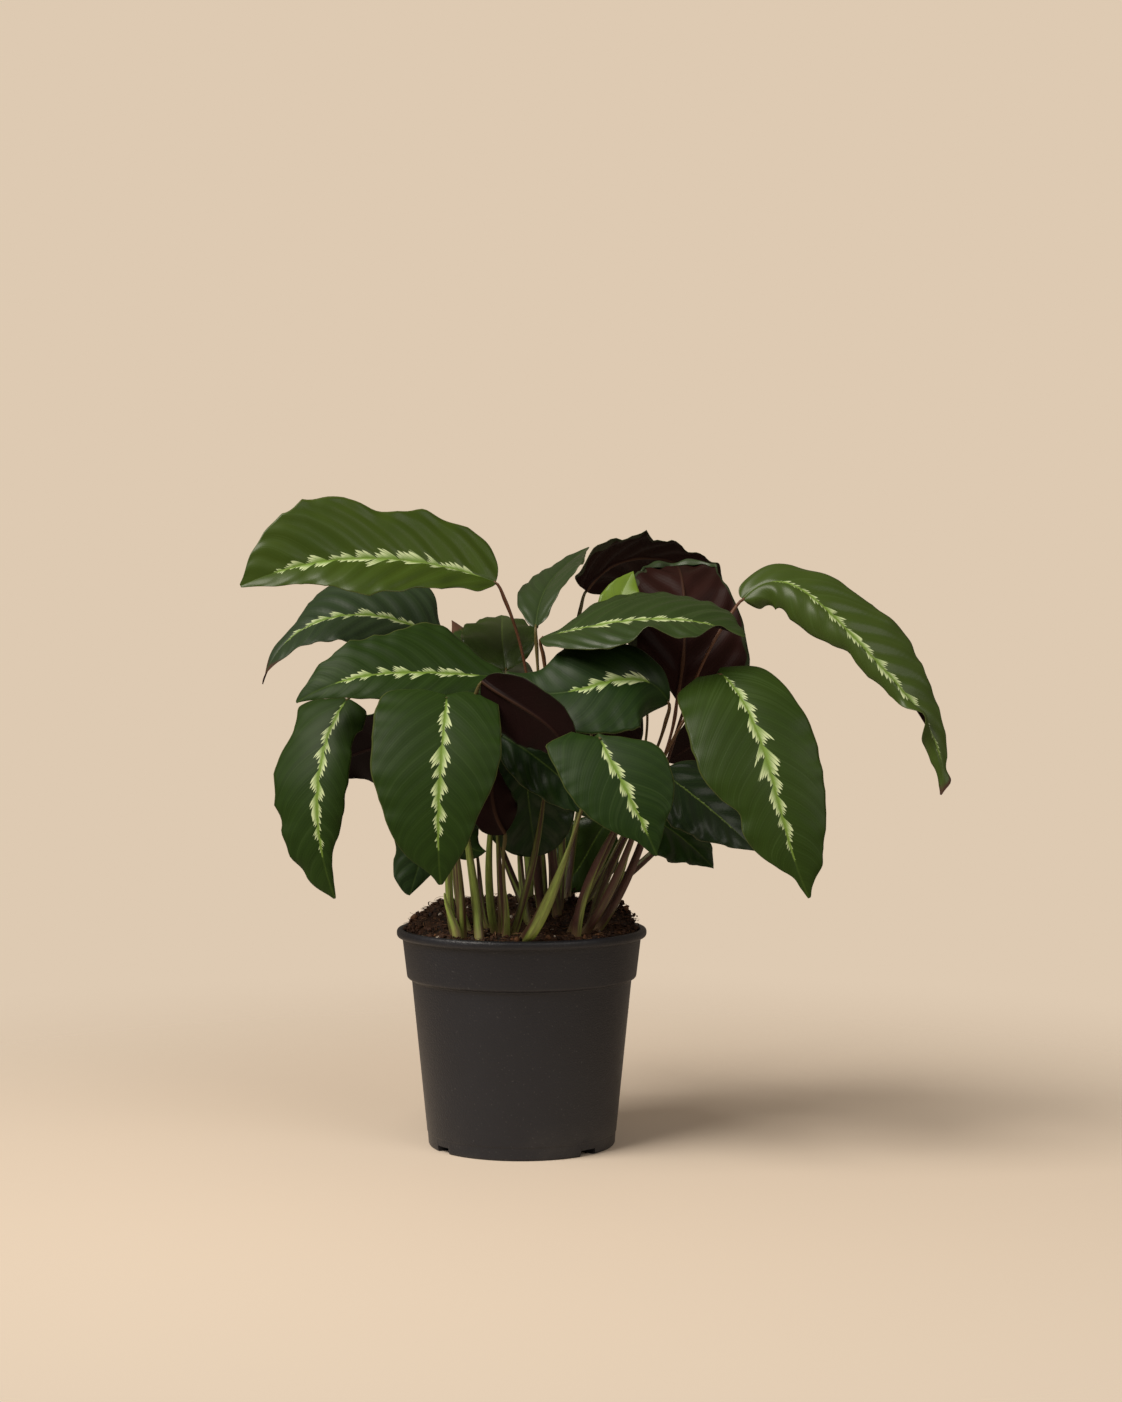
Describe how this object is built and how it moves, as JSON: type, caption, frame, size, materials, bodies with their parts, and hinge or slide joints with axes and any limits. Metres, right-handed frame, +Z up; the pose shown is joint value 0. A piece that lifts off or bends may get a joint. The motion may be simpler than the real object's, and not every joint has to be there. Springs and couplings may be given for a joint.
{
  "type": "potted plant",
  "caption": "Potted calathea: broad feather-patterned leaves with purple undersides on long arching stalks, in soil in a round tapered plastic nursery pot with a collared lip.",
  "frame": {"origin": "middle of the pot's underside, on the surface that the pot stands on", "axes": "+Z up along the pot's axis; -Y towards the front, the side that most leaves lean to; +X to the right seen from the front"},
  "size_m": [0.3811, 0.2486, 0.3605],
  "materials": {
    "pot_plastic": "satin, faintly speckled",
    "soil": "matte, crumbly",
    "leaf": "satin",
    "leaf_turned": "satin",
    "leaf_light": "satin",
    "stalk": "satin"
  },
  "bodies": {
    "root": {"leaf_back_crest": "leaf_turned", "leaf_back_far": "leaf", "leaf_back_folded": "leaf", "leaf_back_olive": "leaf", "leaf_back_upright": "leaf_turned", "leaf_center": "leaf", "leaf_center_top": "leaf", "leaf_center_turned": "leaf_turned", "leaf_center_wavy": "leaf", "leaf_front_left": "leaf", "leaf_front_right": "leaf", "leaf_front_small": "leaf", "leaf_left_behind": "leaf", "leaf_left_hanging": "leaf", "leaf_left_inner": "leaf_turned", "leaf_left_middle": "leaf", "leaf_low_back": "leaf", "leaf_low_center": "leaf", "leaf_low_curled": "leaf", "leaf_low_left": "leaf", "leaf_low_purple": "leaf_turned", "leaf_low_right": "leaf", "leaf_low_right_under": "leaf", "leaf_rear_middle": "leaf", "leaf_rear_right": "leaf", "leaf_right_arching": "leaf_light", "leaf_top_left": "leaf_light", "leaf_young_lime": "leaf_light", "pot": "pot_plastic", "shoot_young": "leaf_light", "soil": "soil", "stalk_back_crest": "stalk", "stalk_back_far": "stalk", "stalk_back_folded": "stalk", "stalk_back_olive": "stalk", "stalk_back_upright": "stalk", "stalk_center": "stalk", "stalk_center_top": "stalk", "stalk_center_turned": "stalk", "stalk_center_wavy": "stalk", "stalk_front_left": "stalk", "stalk_front_right": "stalk", "stalk_front_small": "stalk", "stalk_left_behind": "stalk", "stalk_left_hanging": "stalk", "stalk_left_inner": "stalk", "stalk_left_middle": "stalk", "stalk_low_back": "stalk", "stalk_low_center": "stalk", "stalk_low_curled": "stalk", "stalk_low_left": "stalk", "stalk_low_purple": "stalk", "stalk_low_right": "stalk", "stalk_low_right_under": "stalk", "stalk_rear_middle": "stalk", "stalk_rear_right": "stalk", "stalk_right_arching": "stalk", "stalk_top_left": "stalk", "stalk_young_lime": "stalk"}
  },
  "joints": []
}
